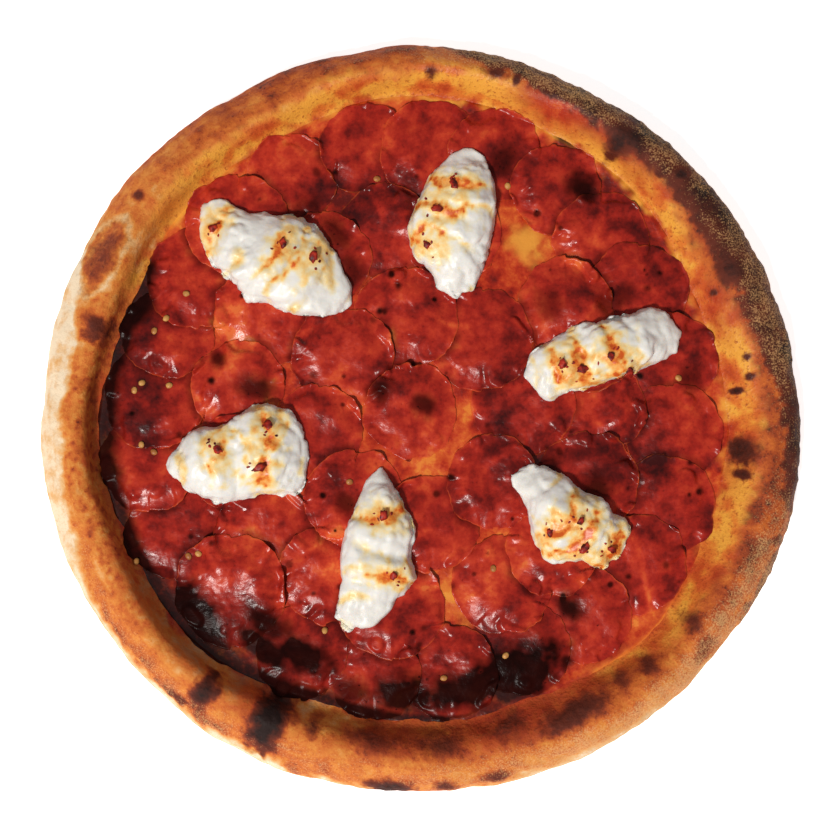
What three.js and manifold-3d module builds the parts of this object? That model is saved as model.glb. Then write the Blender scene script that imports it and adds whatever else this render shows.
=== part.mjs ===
// Pepperoni pizza with six dollops of fresh cream cheese, a chilli flake here and there.
// Millimetres, +Z up. The origin is the middle of the flat underside, and +Y is the far side.
// Each piece is laid on what is already there, in the order a cook lays it, with a thin gap between.
import * as THREE from "three";
import Module from "manifold-3d";
import { mergeVertices } from "three/addons/utils/BufferGeometryUtils.js";

const wasm = await Module();
wasm.setup();

const degree = Math.PI / 180;

// Between two pieces that touch
const gap = 0.3;

// Dough: a flat base that swells into a raised rim
const pizzaRadius = 152;
const wellRadius = 127; // where the rim's inner slope meets the base
const baseThickness = 3.4;
const rimHeight = 19;
const rimWidth = pizzaRadius - wellRadius;
const doughSegments = 80;
// Shares of the well's radius, and how far the dough rises there above its thickness in the middle
const baseRises = [
  [0, 0],
  [0.88, 0],
  [0.96, 0.7],
  [1, 2.9],
];
// The rim's section, from its foot outside to its crest and in to the well: shares of width and height
const rimSection = [
  [0.24, 0],
  [0.06, 0.13],
  [0, 0.36],
  [0.07, 0.64],
  [0.24, 0.88],
  [0.47, 1],
  [0.7, 0.87],
  [0.88, 0.55],
  [1, (baseThickness + baseRises.at(-1)[1]) / rimHeight],
];
const rimSteps = 11;
const outlineWaves = [
  { lobes: 2, size: 1.4, bearing: 170 },
  { lobes: 3, size: 0.8, bearing: 105 },
  { lobes: 7, size: 0.5, bearing: 345 },
];
const wellWaves = [
  { lobes: 1, size: 3, bearing: 120 },
  { lobes: 3, size: 2.5, bearing: 205 },
  { lobes: 8, size: 1.2, bearing: 92 },
];
const rimRiseWaves = [
  { lobes: 1, size: 0.06, bearing: 235 },
  { lobes: 4, size: 0.05, bearing: 150 },
  { lobes: 9, size: 0.04, bearing: 20 },
];
// The rim's upper part leans in on the left, where its inner side is steep, and out on the right
const rimLean = { mean: 1.4, swing: 3.4, bearing: 188 };
// Blisters on the rim: how far in from the outside, and their size along, across and up
const blisters = [
  { bearing: 151, inset: 12, along: 15, across: 9, up: 2.6 },
  { bearing: 165, inset: 18, along: 7, across: 6, up: 1.4 },
  { bearing: 232, inset: 13, along: 7, across: 9, up: 1.6 },
  { bearing: 245, inset: 20, along: 9, across: 13, up: 2.4 },
  { bearing: 268, inset: 14, along: 18, across: 10, up: 1.5 },
  { bearing: 312, inset: 18, along: 8, across: 6, up: 1.6 },
  { bearing: 323, inset: 14, along: 8, across: 7, up: 1.6 },
  { bearing: 353, inset: 20, along: 9, across: 7, up: 1.5 },
  { bearing: 26, inset: 13, along: 10, across: 7, up: 1.5 },
  { bearing: 54, inset: 13, along: 10, across: 9, up: 1.8 },
  { bearing: 83, inset: 11, along: 12, across: 8, up: 1.3 },
];

// Tomato sauce and melted cheese, a layer that thins towards its edge
const sauceThickness = 1.4;
const sauceEdgeThickness = 0.5;
const sauceEdge = 0.99; // share of the well's radius

// Pepperoni: rings of slices, the outer ring first. Bearings in degrees, 0 along +X
const sliceRadius = 20;
const sliceThickness = 1.2;
const sliceSegments = 14;
const sliceStiffness = 1; // passes that let a slice bridge a dip
const sliceSpread = 0.07; // share by which radii vary
const sliceLobes = [2, 3, 5]; // waves round a slice's edge
const sliceUnevenness = 0.02; // share of the radius in each
const sliceDrift = 2.5; // most that a slice lies off its ring
const outerBearings = [
  ...[118, 101, 87, 74, 59, 45, 30, 13], // the far side, from left to right
  ...[357, 341, 326, 310, 294, 277], // the right
  ...[260, 243, 222, 204, 189, 175, 161, 147, 133], // the near side and the left
];
const sliceRings = [
  { bearings: outerBearings, distance: null }, // out to the well's edge
  { bearings: [4, 24, 38, 79, 100, 121, 145.5, 170, 194, 216, 239, 262, 297, 316, 340], distance: 76 },
  { bearings: [8, 52, 97, 141, 186, 231, 276, 320], distance: 42 },
  { bearings: [130], distance: 4 },
];
const bigSlice = { bearing: 222, radius: 23 }; // one slice is from a thicker sausage

// Dollops of cream cheese: axis from start to end, how far the edge is to the left and to the right of
// it at even steps, and folds across it
const dollopHeight = 11.5;
const foldDepth = 0.09; // share by which a ridge stands out
const dollopEdge = 1.8; // height of the widest line above what it lies on
const dollopTaper = 2.4; // the lower, the further the top slopes down to both ends
const dollopStiffness = 6;
const dollopRings = 16;
const dollopSides = 12;
const dollops = [
  {
    ...{ start: [-88, 87], end: [-27, 46], folds: 4 },
    left: [11, 8, 8, 14, 19, 18, 15, 10, 9],
    right: [12, 14, 18, 19, 21, 18, 17, 12, 13],
  },
  {
    ...{ start: [20, 111], end: [14, 49], folds: 5 },
    left: [11, 10, 13, 14, 14, 13, 12, 10, 9],
    right: [8, 11, 16, 18, 21, 21, 18, 10, 11],
  },
  {
    ...{ start: [42, 18], end: [106, 35], folds: 4 },
    left: [10, 10, 12, 14, 14, 13, 14, 15, 14],
    right: [12, 14, 11, 12, 11, 11, 10, 9, 12],
  },
  {
    ...{ start: [-103, -18], end: [-44, -12], folds: 3 },
    left: [3, 9, 14, 13, 16, 20, 21, 19, 18],
    right: [7, 11, 16, 18, 17, 17, 17, 20, 19],
  },
  {
    ...{ start: [-28, -85], end: [-15, -18], folds: 5 },
    left: [7, 8, 7, 9, 10, 9, 7, 6, 2],
    right: [12, 14, 18, 23, 19, 18, 15, 8, 3],
  },
  {
    ...{ start: [37, -22], end: [82, -54], folds: 4 },
    left: [12, 11, 12, 13, 11, 14, 12, 14, 13],
    right: [5, 5, 8, 15, 19, 20, 13, 12, 15],
  },
];

// Chilli: seeds on the pepperoni, most of them on the left, and flakes on the dollops
const seedSize = [1.5, 1.2, 0.7]; // half of length, width and height
const seeds = [
  ...[[-94, 51], [-102, 41], [-107, 36], [-112, 15], [-115, 12], [-101, 14]], // far left
  ...[[-112, -10], [-107, -13], [-114, -57], [-93, -55], [-89, -54]], // near left
  ...[[-17, 98], [36, 95], [105, 17]], // far side and right
  ...[[-28, -25], [-38, -85], [30, -60], [35, -95], [10, -104]], // middle and near side
];
const flakeSize = [2.1, 1.5, 0.8];
const flakes = [
  ...[[-83, 77], [-54, 70], [-42, 65]],
  ...[[14, 94], [7, 84], [3, 70]],
  ...[[57, 22], [65, 20], [76, 25], [84, 19]],
  ...[[-80, -12], [-63, -19], [-60, -2]],
  ...[[-14, -38], [-10, -62]],
  ...[[64, -40], [52, -45], [66, -51], [77, -52]],
];
const sunk = 0.3; // share of a seed or flake that is below the surface

// Finishes
const finishes = {
  crust: { color: 0xc98544, roughness: 0.85, metalness: 0 },
  sauce: { color: 0xc8602a, roughness: 0.4, metalness: 0 },
  slice: { color: 0x9c261e, roughness: 0.3, metalness: 0 },
  dollop: { color: 0xf1ede4, roughness: 0.45, metalness: 0 },
};

// Seeded draw from 0 to 1, so that the same pizza comes out each time
let drawState = 20260;
function draw() {
  drawState = (drawState * 1664525 + 1013904223) % 4294967296;
  return drawState / 4294967296;
}

function drawAround(size) {
  return (2 * draw() - 1) * size;
}

function waves(list, angle) {
  return list.reduce((sum, w) => sum + w.size * Math.cos(w.lobes * (angle - w.bearing * degree)), 0);
}

function outlineAt(angle) {
  return pizzaRadius + waves(outlineWaves, angle);
}

function wellAt(angle) {
  return wellRadius + waves(wellWaves, angle);
}

function polar(distance, angle) {
  return [distance * Math.cos(angle), distance * Math.sin(angle)];
}

// Shape helpers

// A closed solid turned about +Z from a profile of [radius, height] points, underside first
function turned(profile, segments) {
  const points = profile.map(([radius, height]) => new THREE.Vector2(radius, height));
  return bare(new THREE.LatheGeometry(points, segments).rotateX(Math.PI / 2));
}

// The geometry with shared vertices and no other attribute than position
function bare(geometry) {
  geometry.deleteAttribute("normal");
  geometry.deleteAttribute("uv");
  return mergeVertices(geometry, 1e-4);
}

function eachVertex(geometry, change) {
  const position = geometry.getAttribute("position");
  for (let i = 0; i < position.count; i++) {
    const moved = change(position.getX(i), position.getY(i), position.getZ(i));
    position.setXYZ(i, ...moved);
  }
  return geometry;
}

function facesOf(geometry) {
  const index = geometry.getIndex().array;
  const faces = [];
  for (let i = 0; i < index.length; i += 3) {
    faces.push([index[i], index[i + 1], index[i + 2]]);
  }
  return faces.filter(([a, b, c]) => a !== b && b !== c && c !== a);
}

// Twice a face's area as seen from above, positive where it faces up
function areaFromAbove(position, [a, b, c]) {
  const ux = position.getX(b) - position.getX(a);
  const uy = position.getY(b) - position.getY(a);
  const vx = position.getX(c) - position.getX(a);
  const vy = position.getY(c) - position.getY(a);
  return ux * vy - uy * vx;
}

function solidOf(geometry) {
  const shared = mergeVertices(geometry, 1e-4);
  return new wasm.Manifold(
    new wasm.Mesh({
      numProp: 3,
      vertProperties: shared.getAttribute("position").array,
      triVerts: new Uint32Array(shared.getIndex().array),
    }),
  );
}

function geometryOf(solid) {
  const mesh = solid.getMesh();
  return new THREE.BufferGeometry()
    .setAttribute("position", new THREE.BufferAttribute(mesh.vertProperties, 3))
    .setIndex(new THREE.BufferAttribute(mesh.triVerts, 1));
}

// What lies on the pizza so far, seen from above: a grid with the height and the owner of each cell
class Ground {
  constructor(halfWidth) {
    this.half = halfWidth;
    this.side = 2 * halfWidth + 1; // cells are 1 mm
    this.height = new Float64Array(this.side * this.side).fill(0);
    this.owner = new Array(this.side * this.side).fill(null);
  }

  cell(x, y) {
    return Math.round(y + this.half) * this.side + Math.round(x + this.half);
  }

  // Cells under a face, each with the face's three weights there
  cellsUnder(position, face) {
    const [ax, bx, cx] = face.map((i) => position.getX(i));
    const [ay, by, cy] = face.map((i) => position.getY(i));
    const area = (bx - ax) * (cy - ay) - (by - ay) * (cx - ax);
    const cells = [];
    if (Math.abs(area) < 1e-9) return cells;
    const slack = -0.02;
    for (let y = Math.ceil(Math.min(ay, by, cy)); y <= Math.max(ay, by, cy); y++) {
      for (let x = Math.ceil(Math.min(ax, bx, cx)); x <= Math.max(ax, bx, cx); x++) {
        const a = ((bx - x) * (cy - y) - (by - y) * (cx - x)) / area;
        const b = ((cx - x) * (ay - y) - (cy - y) * (ax - x)) / area;
        const c = 1 - a - b;
        if (Math.min(a, b, c) >= slack) cells.push({ at: this.cell(x, y), weights: [a, b, c] });
      }
    }
    return cells;
  }

  // Adds a piece's upper faces
  add(geometry, owner) {
    const position = geometry.getAttribute("position");
    for (const face of facesOf(geometry)) {
      if (areaFromAbove(position, face) <= 0) continue;
      for (const { at, weights } of this.cellsUnder(position, face)) {
        const z = face.reduce((sum, vertex, k) => sum + weights[k] * position.getZ(vertex), 0);
        if (z > this.height[at]) {
          this.height[at] = z;
          this.owner[at] = owner;
        }
      }
    }
  }

  // The highest point within a cell's width of a cell
  highest(at) {
    let most = 0;
    for (const row of [-this.side, 0, this.side]) {
      for (const step of [-1, 0, 1]) {
        most = Math.max(most, this.height[at + row + step]);
      }
    }
    return most;
  }

  // The piece that fills the whole of a small disc, or null where two meet
  ownerAround(x, y, radius) {
    const owner = this.owner[this.cell(x, y)];
    for (let angle = 0; angle < 2 * Math.PI; angle += Math.PI / 6) {
      const [dx, dy] = polar(radius, angle);
      if (this.owner[this.cell(x + dx, y + dy)] !== owner) return null;
    }
    return owner;
  }
}

const ground = new Ground(165);

// Lays a soft piece on the ground. Its vertices move in upright columns, each lifted until every
// underside face clears what is below by the gap. Stiffness lets it bridge dips.
function lay(geometry, stiffness) {
  const position = geometry.getAttribute("position");
  const columns = new Map();
  const columnOf = [];
  for (let i = 0; i < position.count; i++) {
    const key = `${position.getX(i).toFixed(2)} ${position.getY(i).toFixed(2)}`;
    if (!columns.has(key)) columns.set(key, { lift: 0, lowest: Infinity, at: i, beside: new Set() });
    const column = columns.get(key);
    column.lowest = Math.min(column.lowest, position.getZ(i));
    columnOf.push(column);
  }
  for (const column of columns.values()) {
    const at = ground.cell(position.getX(column.at), position.getY(column.at));
    column.lift = ground.highest(at) + gap - column.lowest;
  }
  const faces = facesOf(geometry);
  for (const face of faces) {
    face.forEach((vertex, k) => columnOf[vertex].beside.add(columnOf[face[(k + 1) % 3]]));
  }
  const rests = faces
    .filter((face) => areaFromAbove(position, face) < 0)
    .flatMap((face) => ground.cellsUnder(position, face).map((cell) => ({ face, ...cell })));
  liftClear(position, columnOf, rests);
  for (let pass = 0; pass < stiffness; pass++) {
    for (const column of columns.values()) {
      const around = [...column.beside].filter((other) => other !== column);
      const mean = around.reduce((sum, other) => sum + other.lift, 0) / around.length;
      column.lift = Math.max(column.lift, mean);
    }
  }
  for (let i = 0; i < position.count; i++) {
    position.setZ(i, position.getZ(i) + columnOf[i].lift);
  }
  return geometry;
}

// Raises columns a little at a time until no cell under the piece is too close
function liftClear(position, columnOf, rests) {
  const closeEnough = 0.005;
  for (let pass = 0, worst = Infinity; worst > closeEnough && pass < 200; pass++) {
    worst = 0;
    for (const { face, at, weights } of rests) {
      const heights = face.map((vertex) => position.getZ(vertex) + columnOf[vertex].lift);
      const z = heights.reduce((sum, height, k) => sum + weights[k] * height, 0);
      const short = ground.highest(at) + gap - z;
      if (short <= 0) continue;
      worst = Math.max(worst, short);
      const share = weights.reduce((sum, w) => sum + w * w, 0);
      face.forEach((vertex, k) => (columnOf[vertex].lift += (short * Math.max(0, weights[k])) / share));
    }
  }
}

// Dough

// The height of the well's floor, before it is misshapen
function floorHeight(radius) {
  const share = Math.min(1, radius / wellRadius);
  const next = Math.max(1, baseRises.findIndex(([at]) => at >= share));
  const [[from, low], [to, high]] = [baseRises[next - 1], baseRises[next]];
  return baseThickness + THREE.MathUtils.mapLinear(share, from, to, low, high);
}

// The floor's stations, from the middle out, short of the rim
const floorRadii = baseRises.slice(0, -1).map(([share]) => share * wellRadius);

function doughProfile() {
  const corners = rimSection.map(
    ([inward, up]) => new THREE.Vector2(pizzaRadius - inward * rimWidth, up * rimHeight),
  );
  const rim = new THREE.SplineCurve(corners).getPoints(rimSteps).map((p) => [p.x, Math.max(0, p.y)]);
  const floor = floorRadii.map((radius) => [radius, floorHeight(radius)]).reverse();
  return [[0, 0], ...rim, ...floor];
}

// Moves a point of the round, even dough to where it is on this pizza
function misshape(x, y, z) {
  const angle = Math.atan2(y, x);
  const radius = Math.hypot(x, y);
  const well = wellAt(angle);
  const past = Math.max(0, radius - wellRadius) / rimWidth;
  const out = Math.min(radius, wellRadius) * (well / wellRadius) + past * (outlineAt(angle) - well);
  const raised = Math.max(0, z - baseThickness) * (1 + waves(rimRiseWaves, angle));
  const onTop = THREE.MathUtils.smoothstep(z, 0.4 * rimHeight, 0.8 * rimHeight);
  const swollen = onTop * blisters.reduce((sum, b) => sum + blisterAt(b, out, angle), 0);
  const lean = rimLean.mean + rimLean.swing * Math.cos(angle - rimLean.bearing * degree);
  const leaned = out - lean * THREE.MathUtils.smoothstep(z, 0.45 * rimHeight, 0.95 * rimHeight);
  return [...polar(leaned, angle), Math.min(z, baseThickness) + raised + swollen];
}

function blisterAt({ bearing, inset, along, across, up }, radius, angle) {
  const off = angle - bearing * degree;
  const sideways = (Math.atan2(Math.sin(off), Math.cos(off)) * radius) / along;
  const inwards = (pizzaRadius - inset - radius) / across;
  return up * Math.exp(-2 * (sideways * sideways + inwards * inwards));
}

const crust = eachVertex(turned(doughProfile(), doughSegments), misshape);
ground.add(crust, null);

// Sauce and cheese, on the floor's own stations so that its underside follows the dough

function sauceProfile() {
  const edge = sauceEdge * wellRadius;
  const under = [...floorRadii, edge].map((radius) => [radius, floorHeight(radius) + gap]);
  const over = floorRadii.map((radius) => [radius, floorHeight(radius) + gap + sauceThickness]);
  return [...under, [edge, floorHeight(edge) + gap + sauceEdgeThickness], ...over.reverse()];
}

const sauce = eachVertex(turned(sauceProfile(), doughSegments), (x, y, z) => {
  const floor = floorHeight(Math.hypot(x, y));
  const [mx, my, mz] = misshape(x, y, floor);
  return [mx, my, mz + z - floor];
});
ground.add(sauce, "sauce_and_cheese");

// Pepperoni

function sliceGeometry(radius) {
  const t = sliceThickness;
  const [inner, outer] = [0.52 * radius, 0.95 * radius];
  const profile = [[0, 0], [inner, 0], [outer, 0], [radius, t / 2], [outer, t], [inner, t], [0, t]];
  const uneven = sliceLobes.map((lobes) => ({ lobes, size: sliceUnevenness, bearing: 360 * draw() }));
  return eachVertex(turned(profile, sliceSegments), (x, y, z) => {
    const scale = 1 + waves(uneven, Math.atan2(y, x));
    return [x * scale, y * scale, z];
  });
}

function slicePlaces() {
  return sliceRings.flatMap(({ bearings, distance }) =>
    bearings.map((bearing) => {
      const big = bearing === bigSlice.bearing && distance === null;
      const radius = big ? bigSlice.radius : sliceRadius * (1 + drawAround(sliceSpread));
      const angle = bearing * degree;
      const out = (distance ?? wellAt(angle) - radius) + drawAround(sliceDrift) - sliceDrift / 2;
      return { radius, at: polar(out, angle), last: big };
    }),
  );
}

// Each topping, with the geometry that it is to have
const toppings = new Map();

const places = slicePlaces();
const order = [...places.filter((p) => !p.last), ...places.filter((p) => p.last)];
order.forEach(({ radius, at }, i) => {
  const name = `pepperoni_${String(i + 1).padStart(2, "0")}`;
  const slice = lay(sliceGeometry(radius).translate(at[0], at[1], 0), sliceStiffness);
  ground.add(slice, name);
  toppings.set(name, slice);
});

// Cream cheese

// A point beside a dollop's axis, to the left of it
function besideAxis({ start, end }, t, side) {
  const turn = Math.atan2(end[1] - start[1], end[0] - start[0]);
  const x = THREE.MathUtils.lerp(start[0], end[0], t) - side * Math.sin(turn);
  const y = THREE.MathUtils.lerp(start[1], end[1], t) + side * Math.cos(turn);
  return [x, y];
}

// A smooth curve through values at even steps from 0 to 1
function throughSteps(values) {
  const points = values.map((value, i) => new THREE.Vector2(i / (values.length - 1), value));
  const curve = new THREE.SplineCurve(points);
  return (t) => curve.getPoint(t).y;
}

// A ball drawn out along the dollop's axis, folded across it and flat below
function dollopGeometry(dollop) {
  const left = throughSteps(dollop.left);
  const right = throughSteps(dollop.right);
  const widest = Math.max(...dollop.left.map((width, i) => width + dollop.right[i]));
  const ball = bare(new THREE.SphereGeometry(1, dollopSides, dollopRings));
  return eachVertex(ball, (x, y, z) => {
    const t = Math.acos(THREE.MathUtils.clamp(y, -1, 1)) / Math.PI;
    const around = Math.max(Math.hypot(x, z), 1e-9);
    const aside = x / around;
    const up = z / around;
    const fromMiddle = Math.abs(2 * t - 1);
    const rounding = Math.sqrt(Math.max(0, 1 - fromMiddle ** 6));
    const slope = Math.sqrt(Math.max(0, 1 - fromMiddle ** dollopTaper));
    const phase = 2 * Math.PI * dollop.folds * t;
    const fold = 1 + foldDepth * (Math.cos(phase + aside) + 0.6 * Math.cos(1.7 * phase - 2 * aside));
    const width = (left(t) + right(t)) * rounding;
    const crest = dollopHeight * (0.55 + 0.45 * (width / widest)) * slope * fold;
    const crown = Math.max(0, crest - dollopEdge);
    const height = up > 0 ? up * crown : Math.max(-1, 1.6 * up) * dollopEdge;
    const reach = (aside > 0 ? left(t) : -right(t)) * rounding;
    return [...besideAxis(dollop, t, Math.abs(aside) * reach), dollopEdge + height];
  });
}

dollops.forEach((dollop, i) => {
  const name = `cream_dollop_${i + 1}`;
  const blob = lay(dollopGeometry(dollop), dollopStiffness);
  ground.add(blob, name);
  toppings.set(name, blob);
});

// Chilli seeds and flakes

function speck(size, x, y) {
  const z = ground.height[ground.cell(x, y)] + size[2] * (1 - 2 * sunk);
  return bare(new THREE.IcosahedronGeometry(1, 0))
    .scale(...size)
    .rotateZ(drawAround(Math.PI))
    .translate(x, y, z);
}

// Fuses a speck to the piece that it lies on, unless it would reach over that piece's edge
function sprinkle(size, x, y) {
  const host = ground.ownerAround(x, y, 1.5 * size[0]);
  if (!toppings.has(host)) return;
  toppings.set(host, geometryOf(solidOf(toppings.get(host)).add(solidOf(speck(size, x, y)))));
}

seeds.forEach((seed) => sprinkle(seedSize, ...seed));
flakes.forEach((flake) => sprinkle(flakeSize, ...flake));

// The pizza, with its outline centred on the origin
const pizza = new THREE.Group();

function place(name, geometry, finish) {
  const mesh = new THREE.Mesh(geometry, new THREE.MeshStandardMaterial(finishes[finish]));
  mesh.name = name;
  pizza.add(mesh);
}

place("crust", crust, "crust");
place("sauce_and_cheese", sauce, "sauce");
for (const [name, geometry] of toppings) {
  place(name, geometry, name.startsWith("cream") ? "dollop" : "slice");
}

crust.computeBoundingBox();
const middle = crust.boundingBox.getCenter(new THREE.Vector3());
for (const mesh of pizza.children) {
  mesh.position.set(-middle.x, -middle.y, 0);
}

export default pizza;
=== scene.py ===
import math
import random

import bmesh
import bpy
from mathutils import Matrix, Vector, geometry, noise
from mathutils.bvhtree import BVHTree


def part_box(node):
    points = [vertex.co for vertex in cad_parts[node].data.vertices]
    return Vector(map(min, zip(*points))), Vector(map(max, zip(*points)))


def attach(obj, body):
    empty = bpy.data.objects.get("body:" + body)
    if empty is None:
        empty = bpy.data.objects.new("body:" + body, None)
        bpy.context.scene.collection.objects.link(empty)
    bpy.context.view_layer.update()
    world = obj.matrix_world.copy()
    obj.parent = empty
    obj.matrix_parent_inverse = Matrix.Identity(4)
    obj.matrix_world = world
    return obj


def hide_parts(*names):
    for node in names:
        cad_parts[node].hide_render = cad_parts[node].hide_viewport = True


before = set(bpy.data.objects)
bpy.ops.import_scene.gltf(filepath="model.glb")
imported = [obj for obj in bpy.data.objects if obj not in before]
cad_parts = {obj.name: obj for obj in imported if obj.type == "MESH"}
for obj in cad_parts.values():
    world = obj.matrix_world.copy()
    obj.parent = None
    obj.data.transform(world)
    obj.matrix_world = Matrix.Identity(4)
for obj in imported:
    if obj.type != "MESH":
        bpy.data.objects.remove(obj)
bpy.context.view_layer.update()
mm = 0.001
chance = random.Random(41)
print("frame loaded:", len(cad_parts), "nodes")


def linear(hexCode):
    # an sRGB hex value as linear red, green, blue and alpha
    values = [int(hexCode[i:i + 2], 16) / 255 for i in (1, 3, 5)]
    return [v / 12.92 if v <= 0.04045 else ((v + 0.055) / 1.055) ** 2.4 for v in values] + [1.0]


def addNode(tree, kind, settings={}, links={}):
    # one shader node; a setting is an input's value, a ramp's stops or a property
    node = tree.nodes.new("ShaderNode" + kind)
    for name, value in settings.items():
        if name == "stops":
            ramp = node.color_ramp.elements
            ramp[0].position, ramp[0].color = value[0][0], linear(value[0][1])
            ramp[1].position, ramp[1].color = value[-1][0], linear(value[-1][1])
            for place, hexCode in value[1:-1]:
                ramp.new(place).color = linear(hexCode)
        elif isinstance(name, int) or name in node.inputs:
            node.inputs[name].default_value = linear(value) if isinstance(value, str) else value
        else:
            setattr(node, name, value)
    for name, source in links.items():
        tree.links.new(source, node.inputs[name])
    return node


def newMaterial(name):
    material = bpy.data.materials.new(name)
    material.use_nodes = True
    material.node_tree.nodes.clear()
    return material, material.node_tree


def speckle(tree, size, detail, roughness=0.5):
    # noise from 0 to 1, with lumps of this size in mm
    coords = addNode(tree, "TexCoord").outputs["Object"]
    settings = {"Scale": 1 / (size * mm), "Detail": detail, "Roughness": roughness}
    return addNode(tree, "TexNoise", settings, {"Vector": coords}).outputs["Fac"]


def painted(tree, name):
    # what the mesh's own layer of this name holds
    return addNode(tree, "Attribute", {"attribute_name": name}).outputs["Fac"]


def reckon(tree, operation, *values):
    # a sum on numbers and on what other nodes give
    numbers = {i: v for i, v in enumerate(values) if isinstance(v, float)}
    sources = {i: v for i, v in enumerate(values) if not isinstance(v, float)}
    return addNode(tree, "Math", {"operation": operation, **numbers}, sources).outputs[0]


def stretch(tree, value, low, high, start=0.0, end=1.0):
    # low to high becomes start to end
    settings = {"From Min": low, "From Max": high, "To Min": start, "To Max": end}
    return addNode(tree, "MapRange", settings, {"Value": value}).outputs[0]


def colourBy(tree, value, stops):
    return addNode(tree, "ValToRGB", {"stops": stops}, {"Fac": value}).outputs[0]


def layOver(tree, amount, under, over):
    # over, a hex value or another node's colour, covers under by this amount
    settings, links = {"data_type": "RGBA"}, {0: amount, 6: under}
    (settings if isinstance(over, str) else links)[7] = over
    return addNode(tree, "Mix", settings, links).outputs[2]


def bumps(tree, height, strength, depth):
    # relief in the shading, this many mm deep
    settings = {"Strength": strength, "Distance": depth * mm}
    return addNode(tree, "Bump", settings, {"Height": height}).outputs[0]


def finishSurface(tree, settings, links):
    shader = addNode(tree, "BsdfPrincipled", settings, links)
    addNode(tree, "OutputMaterial", {}, {"Surface": shader.outputs[0]})


def rise(low, high, value):
    # 0 below low, 1 above high, smooth between
    t = min(max((value - low) / (high - low), 0.0), 1.0)
    return t * t * (3 - 2 * t)


def grain(place, size, seed=0.0):
    # smooth noise from about -1 to 1, with lumps of this size in mm
    return noise.noise(place / (size * mm) + Vector((seed, 1.7 * seed, 0.3 * seed)))


def grains(place, rows):
    # noise of several sizes added up; a row is size in mm, amount and seed
    return sum(amount * grain(place, size, seed) for size, amount, seed in rows)


def bearingOf(x, y):
    return math.degrees(math.atan2(y, x)) % 360


def towards(bearing):
    return Vector((math.cos(math.radians(bearing)), math.sin(math.radians(bearing)), 0))


def alongRim(start, bearing, radius):
    # mm round the rim from one bearing to another
    return math.radians((bearing - start + 180) % 360 - 180) * radius


def ringGrain(place, along, across, seed):
    # noise drawn out round the rim, with lumps of these sizes in mm
    bearing = math.atan2(place.y, place.x)
    out = (math.hypot(place.x, place.y) - 0.7 * place.z) / mm
    turn = 140 / along  # the rim lies about 140 mm out
    return noise.noise(Vector((turn * math.cos(bearing), turn * math.sin(bearing) + seed, out / across)))


def between(table, bearing):
    # a row of values at a bearing, from rows that start with their own bearing
    for row, after in zip(table, table[1:] + [[table[0][0] + 360] + list(table[0][1:])]):
        if row[0] <= bearing < after[0]:
            t = rise(0, 1, (bearing - row[0]) / (after[0] - row[0]))
            return [a + (b - a) * t for a, b in zip(row[1:], after[1:])]
    return between(table, bearing + 360)


def spotAt(spots, place, ragged, soft):
    # how much of the strongest spot is here
    # a spot is bearing, radius, half length and half width in mm, and amount
    x, y = place.x / mm, place.y / mm
    bearing, radius = bearingOf(x, y), math.hypot(x, y)
    wellOutside = 2.5
    most = 0.0
    for at, out, along, across, amount in spots:
        off = alongRim(at, bearing, radius)
        if abs(off) > wellOutside * along or abs(radius - out) > wellOutside * across:
            continue
        far = math.hypot(off / along, (radius - out) / across) + ragged
        most = max(most, amount * (1 - rise(1 - soft, 1 + soft, far)))
    return most


def mergedCopy(node):
    # a node's mesh with its loose triangles joined
    bm = bmesh.new()
    bm.from_mesh(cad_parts[node].data)
    bmesh.ops.remove_doubles(bm, verts=bm.verts, dist=0.002 * mm)
    return bm


def throughModifiers(bm, *modifiers):
    # a bmesh as it is after modifiers, each given as kind and settings
    mesh = bpy.data.meshes.new("shaping")
    bm.to_mesh(mesh)
    bm.free()
    shaping = bpy.data.objects.new("shaping", mesh)
    bpy.context.scene.collection.objects.link(shaping)
    for kind, settings in modifiers:
        modifier = shaping.modifiers.new(kind.lower(), kind)
        for name, value in settings.items():
            setattr(modifier, name, value)
    shaped = shaping.evaluated_get(bpy.context.evaluated_depsgraph_get())
    result = bmesh.new()
    result.from_mesh(shaped.data)
    bpy.data.objects.remove(shaping)
    bpy.data.meshes.remove(mesh)
    return result


def addPiece(name, bm, material, slot, *nodes):
    mesh = bpy.data.meshes.new(name)
    bm.to_mesh(mesh)
    bm.free()
    mesh.shade_smooth()
    mesh.materials.append(material)
    piece = bpy.data.objects.new(name, mesh)
    bpy.context.scene.collection.objects.link(piece)
    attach(piece, "root")
    if nodes:
        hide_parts(*nodes)
    return piece


def measureRim(node, steps):
    # a turned node's outer radius in mm at even bearings
    bm = mergedCopy(node)
    radii = [0.0] * steps
    for v in bm.verts:
        k = round(bearingOf(v.co.x, v.co.y) * steps / 360) % steps
        radii[k] = max(radii[k], math.hypot(v.co.x, v.co.y) / mm)
    bm.free()
    return radii


def radiusAt(radii, bearing):
    at = bearing * len(radii) / 360
    k = int(at)
    return radii[k % len(radii)] * (k + 1 - at) + radii[(k + 1) % len(radii)] * (at - k)


# What lies on the pizza so far: low and high corners, and a tree to cast rays at
laid = []


def layDown(piece):
    points = [v.co for v in piece.data.vertices]
    low = Vector([min(p[i] for p in points) for i in range(3)])
    high = Vector([max(p[i] for p in points) for i in range(3)])
    laid.append((low, high, BVHTree.FromPolygons(points, [f.vertices for f in piece.data.polygons])))


def hitFromAbove(tree, x, y):
    return tree.ray_cast(Vector((x, y, 1)), Vector((0, 0, -1)))


def hitFromBelow(tree, x, y):
    return tree.ray_cast(Vector((x, y, 0)), Vector((0, 0, 1)))[0]


def topAt(x, y):
    # the highest point laid so far at a place, with its normal
    best = None
    for low, high, tree in laid:
        if low.x <= x <= high.x and low.y <= y <= high.y:
            hit = hitFromAbove(tree, x, y)
            if hit[0] and (best is None or hit[0].z > best[0].z):
                best = hit
    return best


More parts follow.
